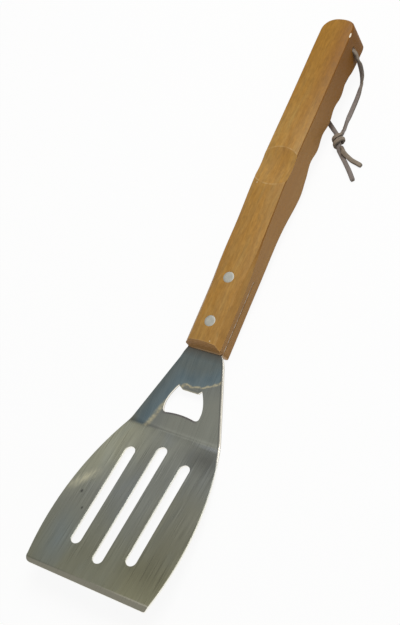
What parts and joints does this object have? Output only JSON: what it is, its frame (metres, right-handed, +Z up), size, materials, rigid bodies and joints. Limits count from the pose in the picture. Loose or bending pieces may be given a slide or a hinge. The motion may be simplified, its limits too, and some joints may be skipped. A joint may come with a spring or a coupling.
{
  "type": "barbecue spatula",
  "caption": "Long barbecue spatula: bent, slotted steel blade with a bottle opener in its neck, riveted in a finger-grooved wooden handle with a leather hanging lace.",
  "frame": {"origin": "on the table, under the middle of the tool's box without its lace", "axes": "+X along the tool from the handle's butt to the blade's tip, +Y across it, +Z up from the table that it lies on"},
  "size_m": [0.4452, 0.1068, 0.0396],
  "materials": {
    "blade_steel": "satin, brushed along the blade",
    "handle_wood": "clear varnish, half gloss",
    "rivet_metal": "matt, sanded flush",
    "lace_leather": "undyed grey-brown thong, matt"
  },
  "bodies": {
    "tool": {"blade": "blade_steel", "handle": "handle_wood", "front_rivet_socket": "rivet_metal", "front_rivet_post": "rivet_metal", "rear_rivet_socket": "rivet_metal", "rear_rivet_post": "rivet_metal"},
    "lace": {"lace_right_leg": "lace_leather", "lace_left_leg": "lace_leather", "lace_knot": "lace_leather", "lace_right_tail": "lace_leather", "lace_left_tail": "lace_leather"}
  },
  "joints": [
    {"name": "lace_swing", "type": "hinge", "parent": "tool", "child": "lace", "pos_m": [-0.20505, 0, 0.02546], "axis": [0, 1, 0], "range_deg": [-5, 150]}
  ]
}
